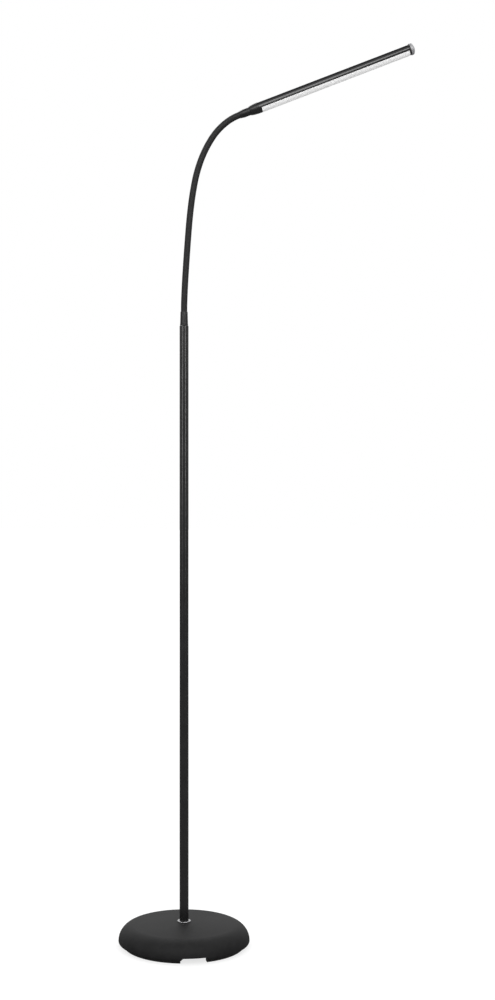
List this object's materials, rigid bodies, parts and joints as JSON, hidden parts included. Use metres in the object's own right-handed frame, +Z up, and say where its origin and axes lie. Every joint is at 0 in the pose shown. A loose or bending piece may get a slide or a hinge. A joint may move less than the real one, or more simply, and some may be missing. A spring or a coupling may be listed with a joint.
{
  "type": "gooseneck reading floor lamp",
  "caption": "Slim black floor lamp: weighted dome base, round pole, bending neck and a bar-shaped LED head with a push switch at its tip.",
  "frame": {"origin": "on the floor, under the pole's axis at the centre of the base", "axes": "+Z up along the pole, +X the way the head reaches in the rest pose, +Y away from the viewer of the picture"},
  "size_m": [0.4275, 0.189, 1.3009],
  "materials": {
    "cover_black": "satin moulded black",
    "plate_black": "matt moulded black",
    "foot_rubber": "matt rubber",
    "cast_weight": "rough cast",
    "zinc_steel": "zinc plated",
    "chrome": "polished chrome",
    "pole_black": "satin black powder coat",
    "socket_black": "moulded",
    "socket_brass": "nickel plated brass",
    "lead_black": "vinyl insulation",
    "ferrule_black": "satin black",
    "neck_black": "matt soft vinyl",
    "core_steel": "oiled steel",
    "nose_black": "satin moulded black",
    "housing_black": "glossy black",
    "diffuser_white": "translucent white",
    "board_white": "white solder mask",
    "chip_yellow": "phosphor",
    "switch_dark": "moulded",
    "button_silver": "satin silver",
    "spring_steel": "drawn wire"
  },
  "bodies": {
    "stand": {"base_cover": "cover_black", "base_weight": "cast_weight", "bottom_plate": "plate_black", "foot_ring": "foot_rubber", "plate_screws": "zinc_steel", "pole_collar": "chrome", "pole_nipple": "zinc_steel", "nipple_washer": "zinc_steel", "nipple_nut": "zinc_steel", "inlet_socket": "socket_black", "socket_nut": "socket_brass", "stand_lead": "lead_black", "pole_foot_insert": "zinc_steel", "pole_lower": "pole_black", "pole_coupler": "zinc_steel", "pole_upper": "pole_black", "pole_top_plug": "zinc_steel", "neck_foot_ferrule": "ferrule_black", "neck_sleeve_0": "neck_black", "neck_core_0": "core_steel"},
    "neck_link_1": {"neck_sleeve_1": "neck_black", "neck_core_1": "core_steel", "neck_lead_1": "lead_black"},
    "neck_link_2": {"neck_sleeve_2": "neck_black", "neck_core_2": "core_steel", "neck_lead_2": "lead_black"},
    "neck_link_3": {"neck_sleeve_3": "neck_black", "neck_core_3": "core_steel", "neck_lead_3": "lead_black"},
    "neck_link_4": {"neck_sleeve_4": "neck_black", "neck_core_4": "core_steel", "neck_lead_4": "lead_black"},
    "neck_link_5": {"neck_sleeve_5": "neck_black", "neck_core_5": "core_steel", "neck_lead_5": "lead_black"},
    "neck_link_6": {"neck_sleeve_6": "neck_black", "neck_core_6": "core_steel", "neck_lead_6": "lead_black"},
    "neck_link_7": {"neck_sleeve_7": "neck_black", "neck_core_7": "core_steel", "neck_lead_7": "lead_black"},
    "neck_link_8": {"neck_sleeve_8": "neck_black", "neck_core_8": "core_steel", "neck_lead_8": "lead_black"},
    "head": {"neck_sleeve_9": "neck_black", "neck_core_9": "core_steel", "neck_head_ferrule": "ferrule_black", "head_nose": "nose_black", "head_housing": "housing_black", "diffuser": "diffuser_white", "led_board": "board_white", "led_chips": "chip_yellow", "head_lead": "lead_black", "end_collar": "nose_black", "switch_board": "board_white", "switch_body": "switch_dark", "button_spring": "spring_steel"},
    "button": {"switch_button": "button_silver"}
  },
  "joints": [
    {"name": "neck_bend_1", "type": "hinge", "parent": "stand", "child": "neck_link_1", "pos_m": [0.0003, 0, 0.93052], "axis": [0, 1, 0], "range_deg": [-48.5, 41.5]},
    {"name": "neck_side_bend_2", "type": "hinge", "parent": "neck_link_1", "child": "neck_link_2", "pos_m": [0.00194, 0, 0.96473], "axis": [0.9981, 0, -0.061], "range_deg": [-45, 45]},
    {"name": "neck_bend_3", "type": "hinge", "parent": "neck_link_2", "child": "neck_link_3", "pos_m": [0.00418, 0, 0.99891], "axis": [0, 1, 0], "range_deg": [-46, 44]},
    {"name": "neck_side_bend_4", "type": "hinge", "parent": "neck_link_3", "child": "neck_link_4", "pos_m": [0.00672, 0, 1.03306], "axis": [-0.9969, 0, 0.0785], "range_deg": [-45, 45]},
    {"name": "neck_bend_5", "type": "hinge", "parent": "neck_link_4", "child": "neck_link_5", "pos_m": [0.01015, 0, 1.06714], "axis": [0, 1, 0], "range_deg": [-51.5, 38.5]},
    {"name": "neck_side_bend_6", "type": "hinge", "parent": "neck_link_5", "child": "neck_link_6", "pos_m": [0.01551, 0, 1.10096], "axis": [0.9816, 0, -0.1908], "range_deg": [-45, 45]},
    {"name": "neck_bend_7", "type": "hinge", "parent": "neck_link_6", "child": "neck_link_7", "pos_m": [0.02494, 0, 1.13384], "axis": [0, 1, 0], "range_deg": [-67, 23]},
    {"name": "neck_side_bend_8", "type": "hinge", "parent": "neck_link_7", "child": "neck_link_8", "pos_m": [0.04046, 0, 1.1643], "axis": [-0.8387, 0, 0.5446], "range_deg": [-45, 45]},
    {"name": "neck_bend_9", "type": "hinge", "parent": "neck_link_8", "child": "head", "pos_m": [0.06401, 0, 1.18891], "axis": [0, 1, 0], "range_deg": [-81, 9]},
    {"name": "button_press", "type": "slide", "parent": "head", "child": "button", "axis": [-0.9336, 0, -0.3584], "range_m": [0, 0.0012], "stiffness_N_per_m": 400, "springref_m": -0.001, "deforming": ["button_spring"]}
  ]
}
